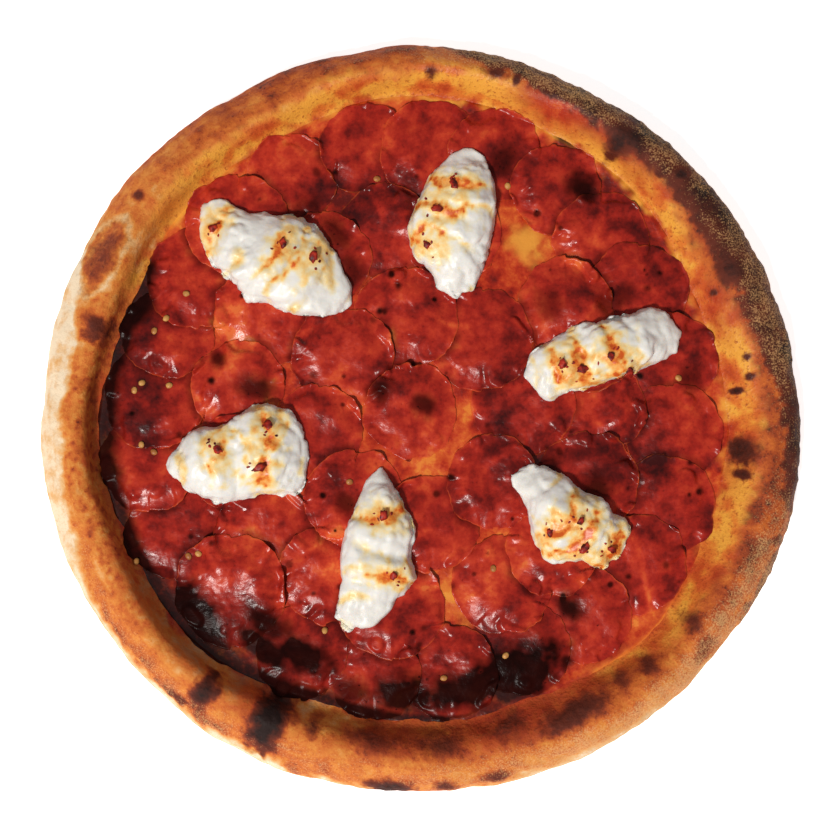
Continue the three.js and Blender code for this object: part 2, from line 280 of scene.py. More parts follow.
rimSteps = 80  # points round the solids' outlines
crustEdge = measureRim("crust", rimSteps)
toppingEdge = measureRim("sauce_and_cheese", rimSteps)

# Crust: the rim is puffed, blistered and scorched, with flour left on its outside
crustLook = {
    "layers": ("toast", "char", "flour", "cheese", "gold", "smear"),
    "longEdge": 4,  # mm; longer edges round the rim are cut
    "ringCuts": 3,
    "roundings": 2,
    "lumps": [(21, 1.0, 41), (9, 0.55, 29), (3.6, 0.25, 23.6)],  # size and height in mm, seed
    "wrinkle": 0.35,  # mm, as are the blisters
    "blister": 0.5,
    "ragged": [(5, 0.3, 8), (2.2, 0.2, 9)],
    "smearEdge": [(12, 4.5, 17), (4, 3.5, 18)],
    "pale": 0.04,  # browning of the pale band
    "paleSoft": 0.08,
    "streaky": 0.08,  # how far streaks, patches, freckles and the pale ring change the browning
    "patchy": 0.1,
    "freckled": 0.2,
    "ringPale": 0.25,
    "scorchSoft": 0.85,
    "stainSoft": 0.9,
    "bandSoft": (0.07, 0.09),
    "bandChar": (0.78, 0.5),  # mean and unevenness
    "flourStreak": 0.18,
    "flourBurntOff": 0.7,
    "cheeseSoft": 3,  # mm
    "belowFacing": -0.4,  # normals under this belong to the underside
    # bearing, melted cheese's reach in mm, browning at the inner edge, on the crest and outside,
    # flour, and how far across the rim the black outer band starts
    "zones": [
        [0, 12, 0.55, 0.66, 0.62, 0.35, 0.66],
        [12, 10, 0.54, 0.66, 0.64, 0.66, 0.5],
        [25, 9, 0.56, 0.7, 0.66, 0.66, 0.46],
        [40, 8, 0.58, 0.74, 0.68, 0.66, 0.44],
        [55, 7, 0.58, 0.76, 0.68, 0.7, 0.45],
        [68, 8, 0.52, 0.72, 0.64, 0.75, 0.54],
        [78, 11, 0.45, 0.6, 0.6, 0.75, 0.68],
        [88, 12, 0.4, 0.54, 0.58, 0.65, 0.95],
        [96, 9, 0.38, 0.6, 0.72, 0.35, 1.4],
        [108, 8, 0.36, 0.58, 0.72, 0.1, 1.4],
        [122, 7, 0.36, 0.56, 0.66, 0.05, 1.4],
        [136, 8, 0.36, 0.5, 0.5, 0.1, 1.4],
        [150, 4, 0.36, 0.4, 0.36, 0.15, 1.4],
        [164, 1, 0.54, 0.44, 0.3, 0.2, 1.4],
        [182, 0, 0.54, 0.4, 0.26, 0.3, 1.4],
        [202, 0, 0.5, 0.44, 0.62, 0.52, 1.4],
        # at 218 to 250 the inner-edge browning is held low, a painted lighter tone on the inner slope
        # that lies in the lamp's shade, and the outside browning is raised, a painted darker tone on the
        # outer wall that the lamp lights most
        [218, 0, 0.36, 0.48, 0.76, 0.62, 1.4],
        [234, 0, 0.34, 0.48, 0.76, 0.64, 1.4],
        [250, 0, 0.38, 0.48, 0.66, 0.6, 1.4],
        [264, 0, 0.56, 0.54, 0.46, 0.5, 1.2],
        [278, 0, 0.6, 0.54, 0.44, 0.7, 1.15],
        [292, 0, 0.66, 0.56, 0.42, 0.9, 1.1],
        [306, 3, 0.6, 0.54, 0.44, 1.0, 1.1],
        [322, 7, 0.52, 0.56, 0.5, 1.0, 1.1],
        [338, 11, 0.52, 0.78, 0.62, 0.85, 0.95],
        [350, 12, 0.54, 0.7, 0.62, 0.4, 0.76],
    ],
    # how far across the rim the pale outer band starts, by bearing
    "paleBand": [
        [0, 1.4], [84, 1.2], [92, 1.4], [146, 1.3], [158, 0.8], [170, 0.56], [184, 0.54], [200, 0.7],
        [212, 0.86], [228, 0.88], [244, 0.9], [258, 0.95], [272, 1.05], [286, 0.95], [300, 0.9],
        [318, 0.93], [332, 1.0], [345, 1.4],
    ],
    # red sauce run up the crust, listed as the scorches are
    "stains": [
        (66, 134, 16, 6, 1), (48, 131, 10, 4, 0.6), (18, 127, 9, 4, 0.6), (350, 125, 10, 5, 0.6),
        (318, 126, 9, 5, 0.7), (301, 125, 11, 5, 0.6), (140, 131, 8, 3, 0.5), (185, 128, 30, 4, 0.7),
        (286, 127, 24, 7, 0.75), (264, 127, 14, 6, 0.65), (212, 131, 22, 4, 0.55),
        (226, 131.5, 16, 4, 0.5), (240, 128, 16, 6, 0.8),
    ],
    # bearing, radius, half length and half width in mm, how far burnt
    "scorches": [
        (25.6, 137, 4.2, 4, 1), (42.6, 142, 3.6, 3.4, 1), (54, 137, 4, 7, 1), (36, 143, 7, 4, 0.7),
        (77.7, 141, 4, 2.6, 0.8), (88, 138, 2.4, 2, 0.7), (74, 140, 1.2, 2.2, 0.8),
        (23, 128, 1.4, 1.4, 0.8), (10.4, 133, 1.6, 1.3, 0.8), (7, 133, 1.4, 1.6, 0.8),
        (4.7, 128, 1.4, 2.4, 1), (353.9, 130, 5.5, 5, 0.9), (350, 131, 2, 3, 0.9),
        (164.6, 133, 4.6, 5, 0.66), (153, 142, 14, 6, 0.42), (141.8, 142.6, 2, 2.4, 0.6),
        (232, 138, 4, 7, 1), (243.7, 134, 6.5, 11, 1.25), (265.2, 149, 8, 3.4, 0.95),
        (251, 130, 3, 4, 0.5), (274, 147, 5, 2.4, 0.6), (282, 146, 5, 2.2, 0.6), (286, 129, 8, 5, 0.5),
        (297, 133, 13, 4.5, 0.7), (307.6, 132.4, 3, 3, 0.45), (312.6, 133.7, 3.4, 3.6, 0.55),
        (323, 135, 3.6, 5, 0.45), (321, 146, 6, 4, 0.45), (229.8, 148, 5, 1.8, 0.5),
        (262, 130, 10, 4, 0.45), (274, 131, 8, 4, 0.45),
    ],
    "paleRing": (153, 142, 17, 8),  # round the brown blister on the left
}

# Melted cheese, from red-brown where it is thin to yellow where it pools
meltStops = [(0.45, "#a83a1c"), (0.65, "#c85826"), (0.85, "#dd7d30"), (1, "#eaa23e")]


def smearAt(place):
    # how far red sauce still covers this place near the toppings' edge
    bearing = bearingOf(place.x, place.y)
    over = math.hypot(place.x, place.y) / mm - radiusAt(toppingEdge, bearing)
    return 1 - rise(-2.5, 2.5, over + grains(place, crustLook["smearEdge"]))


def goldAt(place):
    # how yellow melted cheese is here: streaks along the rim, and more of it at the far side
    gold = 0.43 + 0.14 * math.sin(math.atan2(place.y, place.x))
    return gold + 0.55 * ringGrain(place, 20, 4.5, 7) + 0.3 * grain(place, 6, 47)


def roundedCrust():
    # the crust's solid, cut finer round the rim and rounded off
    bm = mergedCopy("crust")
    bmesh.ops.join_triangles(bm, faces=bm.faces, angle_face_threshold=0.7, angle_shape_threshold=2.0)
    ringEdges = []
    for edge in bm.edges:
        a, b = (v.co.xy for v in edge.verts)
        outward = (a + b).normalized()
        roundRim = abs((b - a).normalized().dot(outward)) < 0.3
        if roundRim and (b - a).length > crustLook["longEdge"] * mm:
            ringEdges.append(edge)
    bmesh.ops.subdivide_edges(bm, edges=ringEdges, cuts=crustLook["ringCuts"], use_grid_fill=True)
    levels = crustLook["roundings"]
    bm = throughModifiers(bm, ("SUBSURF", {"levels": levels, "render_levels": levels}))
    bm.normal_update()
    return bm


def toastAt(place, across, browning, streak, ragged):
    # how brown the dough is, from the inner edge over the crest to the outside
    bearing = bearingOf(place.x, place.y)
    inEdge, crest, outside = browning
    if across < 0.5:
        toast = inEdge + (crest - inEdge) * rise(0.05, 0.5, across)
    else:
        toast = crest + (outside - crest) * rise(0.5, 0.95, across)
    start = between(crustLook["paleBand"], bearing)[0]
    soft = crustLook["paleSoft"]
    toast += (crustLook["pale"] - toast) * rise(start - soft, start + soft, across + 0.22 * ragged)
    toast += crustLook["streaky"] * streak + crustLook["patchy"] * grain(place, 8, 40)
    # brown freckles on the inner slope at the left
    inside = rise(0.8, 0.98, -math.cos(math.radians(bearing - 8))) * (1 - rise(0.4, 0.62, across))
    toast += crustLook["freckled"] * inside * rise(0.0, 0.5, grain(place, 2.6, 61))
    ringBearing, ringRadius, halfLength, halfWidth = crustLook["paleRing"]
    radius = math.hypot(place.x, place.y) / mm
    off = alongRim(ringBearing, bearing, radius)
    fromRing = abs(math.hypot(off / halfLength, (radius - ringRadius) / halfWidth) - 1 + 0.3 * ragged)
    return toast - crustLook["ringPale"] * (1 - rise(0.02, 0.22, fromRing))


def crustPiece(material):
    bm = roundedCrust()
    layers = [bm.verts.layers.float.new(name) for name in crustLook["layers"]]
    before, after = crustLook["bandSoft"]
    charMean, charUneven = crustLook["bandChar"]
    soft = crustLook["cheeseSoft"]
    for v in bm.verts:
        place = v.co.copy()
        facing = v.normal.z
        bearing = bearingOf(place.x, place.y)
        radius = math.hypot(place.x, place.y) / mm
        inner, outer = radiusAt(toppingEdge, bearing), radiusAt(crustEdge, bearing)
        wander = grain(place, 22, 3)
        streak = ringGrain(place, 13, 2.4, 1) + 0.6 * ringGrain(place, 6, 1.3, 2)
        ragged = grains(place, crustLook["ragged"])
        across = (radius - inner) / (outer - inner) + 0.1 * grain(place, 13, 5)
        reach, *browning, flour, bandStart = between(crustLook["zones"], (bearing + 6 * wander) % 360)
        toast = toastAt(place, across, browning, streak, ragged)
        blister = spotAt(crustLook["scorches"], place, 1.6 * ragged, crustLook["scorchSoft"])
        band = rise(bandStart - before, bandStart + after, across + 0.35 * ragged + 0.12 * wander)
        char = max(blister, band * (charMean + charUneven * grain(place, 9, 33)))
        cheese = 1 - rise(reach - soft, reach + soft, radius - inner + 5 * wander + 7 * ragged)
        cheese *= rise(1, 4, reach) * rise(0.1, 0.3, facing)
        flour *= rise(0.35, 0.7, across)
        flour += crustLook["flourStreak"] * streak - crustLook["flourBurntOff"] * blister
        smear = max(smearAt(place), spotAt(crustLook["stains"], place, ragged, crustLook["stainSoft"]))
        if facing < crustLook["belowFacing"]:  # dark freckles from the oven's floor
            toast = 0.45 + 0.25 * wander
            char = rise(0.3, 0.6, grain(place, 11, 12)) * 0.7
            flour, cheese, smear = 0.4, 0.0, 0.0
        for layer, value in zip(layers, (toast, char, flour, cheese, goldAt(place), smear)):
            v[layer] = value
        height = grains(place, crustLook["lumps"])
        height += crustLook["wrinkle"] * streak * rise(0.3, 0.8, across)
        height += crustLook["blister"] * char * (0.5 + grain(place, 2.4, 30))
        height *= 1 - 0.4 * cheese
        v.co += v.normal * height * mm * rise(0.3 * mm, 4 * mm, place.z)
    return addPiece("crust_dough", bm, material, "baked_dough", "crust")


# Baked wheat dough: matt and dry, from cream to brown by its own browning, with loose pale flour
# on the outside, black blisters, and melted cheese and red sauce run up from the toppings
def bakedDough():
    material, tree = newMaterial("baked_dough_with_flour")
    patches = speckle(tree, 6, 5, 0.65)
    crumbs = speckle(tree, 1.4, 3, 0.6)
    dust = speckle(tree, 0.65, 2, 0.6)
    toast, char, flour, cheese, gold, smear = (painted(tree, name) for name in crustLook["layers"])
    # bare dough
    freckles = reckon(tree, "MULTIPLY", stretch(tree, crumbs, 0.56, 0.7, end=0.25), toast)
    blotched = reckon(tree, "MULTIPLY_ADD", patches, 0.8, toast)
    browned = reckon(tree, "ADD", freckles, blotched)
    singed = reckon(tree, "MULTIPLY_ADD", char, 0.55, browned)
    stops = [
        (0, "#ead3b4"), (0.2, "#deac72"), (0.4, "#d78539"), (0.55, "#c66428"),
        (0.7, "#a44620"), (0.85, "#6c2d1b"), (1, "#3a1c16"),
    ]
    dough = colourBy(tree, reckon(tree, "SUBTRACT", singed, 0.4), stops)
    # cheese and sauce run up it
    melted = colourBy(tree, reckon(tree, "MULTIPLY_ADD", patches, 0.8, gold), meltStops)
    cheesy = layOver(tree, cheese, dough, melted)
    sauce = colourBy(tree, patches, [(0.3, "#9a2616"), (0.5, "#b4391e"), (0.7, "#d4602a")])
    saucy = layOver(tree, smear, cheesy, sauce)
    bubbles = reckon(tree, "MULTIPLY", stretch(tree, crumbs, 0.54, 0.7, end=0.7), cheese)
    bubbled = layOver(tree, bubbles, saucy, "#9a3a1a")
    # burns turn red-brown, then black
    darkening = reckon(tree, "MULTIPLY_ADD", crumbs, 0.5, char)
    reddened = layOver(tree, stretch(tree, darkening, 0.35, 0.85), bubbled, "#6e2c1a")
    scorched = layOver(tree, stretch(tree, darkening, 0.6, 1.35), reddened, "#23120f")
    # flour lies on top
    drifts = reckon(tree, "ADD", patches, flour)
    dusting = reckon(tree, "MULTIPLY_ADD", dust, 2.6, drifts)
    dusty = layOver(tree, stretch(tree, dusting, 2.3, 3.05, end=0.75), scorched, "#dca56c")
    wet = reckon(tree, "MAXIMUM", cheese, smear)
    rough = stretch(tree, wet, 0.0, 1.0, 0.75, 0.35)
    links = {"Base Color": dusty, "Roughness": rough, "Normal": bumps(tree, crumbs, 0.7, 0.6)}
    finishSurface(tree, {"IOR": 1.3}, links)
    return material


layDown(crustPiece(bakedDough()))
print("crust shaped and browned")

# Burnt places on the toppings, and painted shadows beside the dollops and under a lifted slice edge:
# bearing, radius, half length and half width in mm, how far burnt or shaded
toppingBurnsAndShadows = [
    (236, 113, 16, 6, 1), (234, 104, 12, 6, 0.9), (221, 120, 16, 8, 1.2), (252, 119, 9, 4, 0.8),
    (244, 107, 13, 7, 1.1), (267, 112, 13, 9, 1), (256, 114, 9, 6, 0.8), (279, 112, 18, 8, 1),
    (290, 111, 20, 11, 1.3), (283, 121, 8, 5, 0.8), (55, 114, 7, 6, 0.9), (308.5, 98, 5, 6, 0.9),
    (301, 114.6, 3, 3, 0.9), (120, 97, 9, 5, 0.6), (115, 81, 5, 9, 0.7), (115, 66, 5, 7, 0.7),
    (170, 67, 5, 8, 0.8), (338.5, 76, 7, 7, 0.8), (31, 93, 5, 8, 0.65), (41, 69, 7, 6, 0.5),
    (72, 109, 5, 8, 0.7), (8, 110, 5, 5, 0.6), (229, 46, 6, 4, 0.7), (146, 19.5, 5, 5, 0.8),
    (74, 6, 6, 4, 0.8), (164, 85, 3.4, 3.4, 0.8), (62, 128, 6, 3, 0.9), (338, 55, 7, 6, 0.7),
]
# Painted shade of the rim on the toppings, the dark gap along it: bearing, reach from the edge in mm
toppingShade = [
    [0, 0], [146, 0], [152, 3], [158.5, 10], [163, 6], [168, 6], [181, 8], [188, 7], [197, 6], [207, 5],
    [213, 8], [219, 12], [226, 12], [232, 9], [240, 7], [250, 6], [262, 5], [280, 2], [300, 1], [312, 0],
]
# Brighter and darker stretches of the red, listed as the burns are
brightPlaces = [
    (220, 90, 22, 16, 0.35), (154, 33, 14, 10, 0.8), (292, 22, 16, 8, 1), (104, 34, 16, 12, 0.6),
    (99, 118, 14, 9, 0.5), (293, 61, 14, 12, 0.9), (138, 119, 14, 8, 1), (111, 114, 12, 5, 0.8),
    (278, 73, 12, 10, 1), (55, 89, 14, 10, 0.8), (347, 112, 8, 10, 0.8), (319, 122, 9, 7, 0.9),
    (151, 69, 22, 14, 0.5), (240, 68, 12, 12, 0.6), (200, 66, 12, 8, 0.5), (70, 40, 12, 9, 0.4),
    (5, 15, 9, 6, 0.5),
]
darkPlaces = [
    (101, 87, 14, 12, 0.8), (113, 99, 12, 9, 0.6), (52, 113, 14, 14, 0.7), (41, 118, 12, 10, 0.6),
    (38, 77, 14, 8, 0.8), (357, 77, 20, 16, 1), (348, 95, 14, 10, 0.8), (123, 15, 12, 8, 0.8),
    (15, 33, 14, 10, 0.6), (338, 52, 12, 9, 0.8), (180, 112, 26, 9, 0.9), (165, 112, 12, 9, 0.7),
    (198, 103, 14, 10, 0.7), (213, 43, 10, 8, 0.4), (280, 98, 18, 8, 0.7), (317, 106, 12, 10, 0.5),
    (14, 100, 12, 10, 0.6), (331, 78, 10, 8, 0.6), (82, 58, 9, 12, 0.4),
]
# Noise in the red and along the outlines of these places: size in mm, amount and seed
redMottle = [(26, 0.18, 50), (12, 0.22, 60), (5, 0.14, 70)]
toppingRagged = [(5, 0.3, 6), (2, 0.15, 7)]
# how dark the rim's painted shade goes, and how soft the burns and painted shadows are
gapDark, burnAndShadowSoft = 0.95, 0.65
redMean, redContrast, redSoft, veinBright = 0.5, 0.3, 0.9, 0.2


def burnAndShadeAt(place, ragged):
    # how dark the toppings are: burnt, or under the painted shade of the rim and the painted shadows
    # listed with the burns
    x, y = place.x / mm, place.y / mm
    bearing = bearingOf(x, y)
    reach = between(toppingShade, bearing)[0]
    inward = radiusAt(toppingEdge, bearing) - math.hypot(x, y)
    shade = (1 - rise(0.4 * reach, 1.5 * reach + 0.5, inward + 2.5 * ragged)) * rise(0, 3, reach)
    return max(gapDark * shade, spotAt(toppingBurnsAndShadows, place, ragged, burnAndShadowSoft))


def redAt(place, ragged):
    # how bright the toppings' red is, from 0 to 1
    red = redMean + redContrast * spotAt(brightPlaces, place, ragged, redSoft)
    red -= redContrast * spotAt(darkPlaces, place, ragged, redSoft)
    red += grains(place, redMottle)
    vein = (1 - rise(0.02, 0.13, abs(grain(place, 24, 90)))) * rise(-0.1, 0.3, grain(place, 17, 95))
    return red + veinBright * vein


# Sauce and melted cheese: shows between the slices and along the rim
sauceLook = {
    "layers": ("cheese", "burn", "red", "gold"),
    "cells": 150,
    "skin": 0.4,  # mm
    "ripples": [(9, 0.4, 9), (4, 0.25, 4)],  # size and height in mm, seed
    "sink": 0.2,  # mm below the solid's top
    "overlap": 1.2,  # mm that the edge runs up the crust
    "cheeseArc": (330, 118),  # bearings between which cheese covers the edge
    "arcSoft": 12,
    "patchSoft": 0.7,
    "patchGold": 0.35,
    # melted patches: bearing, radius, half length and half width in mm, amount
    "patches": [
        (58, 84, 8, 6, 0.8), (282.8, 74.7, 7, 10, 0.8), (151, 34.6, 8, 8, 0.6), (347, 107, 8, 8, 0.8),
    ],
}


def discGrid(cells):
    # a flat disc of radius 1, an even grid of four-sided faces
    bm = bmesh.new()
    bmesh.ops.create_grid(bm, x_segments=cells, y_segments=cells, size=1)
    for v in bm.verts:
        x, y = v.co.x, v.co.y
        v.co.x, v.co.y = x * math.sqrt(1 - y * y / 2), y * math.sqrt(1 - x * x / 2)
    return bm


def thicken(bm, depth):
    # a sheet that faces up becomes a closed skin, this many mm deep
    bmesh.ops.recalc_face_normals(bm, faces=bm.faces)
    if sum(f.normal.z for f in bm.faces) < 0:
        bmesh.ops.reverse_faces(bm, faces=bm.faces)
    bmesh.ops.solidify(bm, geom=bm.faces[:], thickness=depth * mm)


def saucePiece(material):
    solid = BVHTree.FromBMesh(mergedCopy("sauce_and_cheese"))
    bm = discGrid(sauceLook["cells"])
    layers = [bm.verts.layers.float.new(name) for name in sauceLook["layers"]]
    start, end = sauceLook["cheeseArc"]
    for v in bm.verts:
        share = math.hypot(v.co.x, v.co.y)
        bearing = bearingOf(v.co.x, v.co.y)
        turn = towards(bearing)
        overlap = sauceLook["overlap"] * (1 + noise.noise(14 * turn))
        out = share * (radiusAt(toppingEdge, bearing) + overlap)
        x, y = out * turn.x * mm, out * turn.y * mm
        hit = hitFromAbove(solid, x, y)[0] or solid.find_nearest(Vector((x, y, 6 * mm)))[0]
        v.co = Vector((x, y, hit.z))
        ragged = grains(v.co, toppingRagged)
        inArc = min((bearing - start) % 360, (end - bearing) % 360)
        band = rise(0, sauceLook["arcSoft"], inArc if inArc < 180 else 0) * (1 - smearAt(v.co))
        pooled = spotAt(sauceLook["patches"], v.co, 2 * ragged, sauceLook["patchSoft"])
        gold = goldAt(v.co) + sauceLook["patchGold"] * pooled
        values = (max(band, pooled), burnAndShadeAt(v.co, ragged), redAt(v.co, ragged), gold)
        for layer, value in zip(layers, values):
            v[layer] = value
        height = grains(v.co, sauceLook["ripples"]) - sauceLook["sink"]
        v.co.z += height * mm * (1 - rise(0.96, 1, share))
    bmesh.ops.smooth_vert(bm, verts=bm.verts, factor=0.5, use_axis_z=True)
    thicken(bm, sauceLook["skin"])
    return addPiece("sauce_layer", bm, material, "sauce_and_cheese", "sauce_and_cheese")


# Tomato sauce under melted cheese and orange fat: wet and glossy, red where thin, yellow where it pools
def meltedCheese():
    material, tree = newMaterial("melted_cheese_and_tomato")
    pools = speckle(tree, 6, 5, 0.65)
    fine = speckle(tree, 1.6, 3)
    cheese, burn, red, gold = (painted(tree, name) for name in sauceLook["layers"])
    mixed = reckon(tree, "MULTIPLY_ADD", pools, 1.5, red)
    stops = [(0.1, "#5c110c"), (0.4, "#98200f"), (0.6, "#b83518"), (0.85, "#d25a26"), (1, "#df7c30")]
    tomato = colourBy(tree, reckon(tree, "SUBTRACT", mixed, 0.74), stops)
    melted = colourBy(tree, reckon(tree, "MULTIPLY_ADD", pools, 0.8, gold), meltStops)
    colour = layOver(tree, cheese, tomato, melted)
    # burnt places and painted shade go dark
    darkening = reckon(tree, "MULTIPLY_ADD", fine, 0.4, burn)
    dark = layOver(tree, stretch(tree, darkening, 0.25, 1.15, end=0.95), colour, "#1a0b0a")
    settings = {"Roughness": 0.3, "IOR": 1.3, "Coat Weight": 0.1, "Coat Roughness": 0.08}
    finishSurface(tree, settings, {"Base Color": dark, "Normal": bumps(tree, fine, 0.3, 0.5)})
    return material


layDown(saucePiece(meltedCheese()))
print("sauce laid")

# Pepperoni: thin slices that drape over one another and are stuck down by the oil along their edges
sliceLook = {
    "layers": ("edge", "red", "burn"),
    "cells": 64,
    "rise": 1.05,  # mm from the solid's underside to the top
    "skin": 0.35,  # mm
    "widest": 32,  # mm from a slice's middle, past which it darkens nothing
    "tone": 0.1,  # how far a slice's red may differ from the next
    "lean": 0.07,  # and from one side to the other
    "flatten": 0.05,  # share by which a slice sinks from the draped solid to what lies below
    "edgeLift": 0.3,  # mm between what lies below and the top of the edge
    "settle": 16,  # smoothing passes that take the facets out of the draped solid
    "waver": 0.05,  # share by which the outline wanders
    "ripples": [(14, 0.55, 14), (6.5, 0.16, 6.5), (3.2, 0.1, 3.2)],  # size and height in mm, seed
    "wrinkles": (1.5, 0.17),
    "curl": 0.6,  # share by which an edge may stay up
    "pits": 80,
    "pitSize": (0.5, 1.7),
    "pitReach": 118,
    "pitSoft": 0.6,
    "gap": 0.2,  # share of a slice's radius that lies in the painted shade of its edge
    # how dark that painted shade goes
    "gapDark": 0.55,
    "burntFlat": 0.85,  # share of the ripples taken away where the toppings are burnt and under painted shade
}


def sliceShape(node, seed):
    # a slice's solid as a tree, its middle, its outline and the number that sets its wavering
    solid = mergedCopy(node)
    low, high = (Vector(corner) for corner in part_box(node))
    middle = ((low + high) / 2).xy
    corners = [v.co.xy - middle for v in solid.verts]
    hull = [corners[i] for i in geometry.convex_hull_2d(corners)]
    outline = sorted([bearingOf(c.x, c.y), c.length] for c in hull)
    tree = BVHTree.FromBMesh(solid)
    solid.free()
    return {"tree": tree, "middle": middle, "outline": outline, "seed": seed}


def sliceRadius(shape, bearing):
    # how far a slice reaches from its middle, with a wavering edge
    turn = towards(bearing)
    seed = Vector((0, 0, shape["seed"]))
    waver = noise.noise(3 * turn + seed) + 0.5 * noise.noise(9 * turn + seed)
    return between(shape["outline"], bearing)[0] * (1 + sliceLook["waver"] * waver)


def edgeShadeAt(place, above):
    # painted shade beside the edges of the slices that lie above, partly a contact shadow and partly dark
    # oil in the crevice
    most = 0.0
    for shape in above:
        apart = place.xy - shape["middle"]
        if apart.length < sliceLook["widest"] * mm:
            beyond = apart.length / sliceRadius(shape, bearingOf(apart.x, apart.y)) - 1
            most = max(most, 1 - rise(0, sliceLook["gap"], abs(beyond)))
    return most * rise(-0.35, 0.25, grain(place, 15, 81))


slicePits = []
for _ in range(sliceLook["pits"]):
    size = chance.uniform(*sliceLook["pitSize"])
    bearing = chance.uniform(0, 360)
    radius = sliceLook["pitReach"] * math.sqrt(chance.random())
    slicePits.append((bearing, radius, size, size, chance.uniform(0.5, 1)))


def drapedDisc(shape):
    # a round sheet over a slice's solid, smoothed, with each point's share of the way to the edge
    bm = discGrid(sliceLook["cells"])
    layers = [bm.verts.layers.float.new(name) for name in sliceLook["layers"]]
    tree = shape["tree"]
    for v in bm.verts:
        share = math.hypot(v.co.x, v.co.y)
        bearing = bearingOf(v.co.x, v.co.y)
        x, y = shape["middle"] + towards(bearing).xy * share * sliceRadius(shape, bearing)
        under = hitFromBelow(tree, x, y) or tree.find_nearest(Vector((x, y, 9 * mm)))[0]
        v.co = Vector((x, y, under.z + sliceLook["rise"] * mm))
        v[layers[0]] = share
    for _ in range(sliceLook["settle"]):
        bmesh.ops.smooth_vert(bm, verts=bm.verts, factor=0.5, use_axis_z=True)
    return bm, layers


def slicePiece(node, material, shape, above):
    bm, (edge, red, burnAndShadeAmount) = drapedDisc(shape)
    tone = chance.uniform(-sliceLook["tone"], sliceLook["tone"])
    lean = Vector((chance.uniform(-1, 1), chance.uniform(-1, 1))) * sliceLook["lean"]
    fine, depth = sliceLook["wrinkles"]
    sunk = sliceLook["flatten"]
    for v in bm.verts:
        share = v[edge]
        ragged = grains(v.co, toppingRagged)
        out = v.co.xy - shape["middle"]
        v[red] = tone + lean.dot(out) / (20 * mm) + redAt(v.co, ragged)
        burn = burnAndShadeAt(v.co, ragged)
        pit = spotAt(slicePits, v.co, 1.8 * ragged, sliceLook["pitSoft"])
        # the burn layer also carries the painted shade beside the edges of the slices above
        v[burnAndShadeAmount] = max(burn, pit, sliceLook["gapDark"] * edgeShadeAt(v.co, above))
        height = grains(v.co, sliceLook["ripples"])
        height += depth * grain(v.co, fine, 8) * (0.25 + rise(-0.1, 0.35, grain(v.co, 11, 9)))
        v.co.z += height * mm * (1 - sliceLook["burntFlat"] * min(1, burn))
        below = topAt(v.co.x, v.co.y)
        if below:
            around = Vector((1.3 * out.x, 1.3 * out.y, 0)) / (10 * mm) + Vector((shape["seed"], 0, 0))
            curl = sliceLook["curl"] * rise(0.05, 0.4, noise.noise(around))
            stuck = below[0].z + sliceLook["edgeLift"] * mm
            v.co.z += (stuck - v.co.z) * (sunk + (1 - sunk) * (1 - curl) * rise(0.4, 1, share))
            v.co.z = max(v.co.z, stuck)
    thicken(bm, sliceLook["skin"])
    layDown(addPiece(node.replace("pepperoni", "slice"), bm, material, "pepperoni", node))


# Cured sausage, fried in its own fat: deep red, mottled, with orange along its edge, partly fat and
# partly a painted highlight, and a wet shine
def curedSausage():
    material, tree = newMaterial("cured_sausage_oily")
    blotch = speckle(tree, 6, 3)
    meat = speckle(tree, 1.5, 2, 0.55)
    edge, red, burn = (painted(tree, name) for name in sliceLook["layers"])
    toned = reckon(tree, "ADD", blotch, red)
    grained = reckon(tree, "MULTIPLY_ADD", meat, 0.16, toned)
    stops = [
        (0, "#3c0f0f"), (0.25, "#6e1713"), (0.5, "#9e241a"),
        (0.72, "#ba3622"), (0.9, "#cf4e2a"), (1, "#da6834"),
    ]
    meaty = colourBy(tree, reckon(tree, "SUBTRACT", grained, 0.58), stops)
    # the orange along each edge is partly the fat and partly a painted highlight on the edges
    ragged = reckon(tree, "MULTIPLY_ADD", blotch, 0.12, edge)
    edgeFatAndHighlight = layOver(tree, stretch(tree, ragged, 1.035, 1.065, end=0.38), meaty, "#d25a28")
    # burns, pits and painted shade go near black and lose their shine
    specked = reckon(tree, "ADD", stretch(tree, meat, 0.34, 0.26, end=0.25), burn)
    darkening = reckon(tree, "MULTIPLY_ADD", blotch, 0.35, specked)
    burnAndShadeAmount = stretch(tree, darkening, 0.2, 1.1, end=0.96)
    links = {
        "Base Color": layOver(tree, burnAndShadeAmount, edgeFatAndHighlight, "#0d0605"),
        "Roughness": stretch(tree, blotch, 0.35, 0.65, 0.2, 0.3),
        "Specular IOR Level": stretch(tree, burnAndShadeAmount, 0.0, 1.0, 0.5, 0.08),
        "Normal": bumps(tree, meat, 0.28, 0.4),
    }
    finishSurface(tree, {"IOR": 1.26}, links)
    return material


sausage = curedSausage()
sliceNodes = sorted(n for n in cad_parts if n.startswith("pepperoni"))
shapes = [sliceShape(node, 3.1 * i) for i, node in enumerate(sliceNodes)]
for i, node in enumerate(sliceNodes):
    slicePiece(node, sausage, shapes[i], shapes[i + 1:])
print("slices draped:", len(sliceNodes))

# Where chilli lies, in mm: seeds on the slices and flakes on the dollops
centring = Vector((-0.43, -1.06))  # from these places to the frame
chilliSeeds = [
    (-94, 51), (-102, 41), (-107, 36), (-112, 15), (-115, 12), (-101, 14), (-112, -10), (-107, -13),
    (-114, -57), (-93, -55), (-89, -54), (-17, 98), (36, 95), (105, 17), (-28, -25), (-38, -85),
    (30, -60), (35, -95), (10, -104),
]
chilliFlakes = [
    (-83, 77), (-54, 70), (-42, 65), (14, 94), (7, 84), (3, 70), (57, 22), (65, 20), (76, 25), (84, 19),
    (-80, -12), (-63, -19), (-60, -2), (-14, -38), (-10, -62), (64, -40), (52, -45), (66, -51), (77, -52),
]

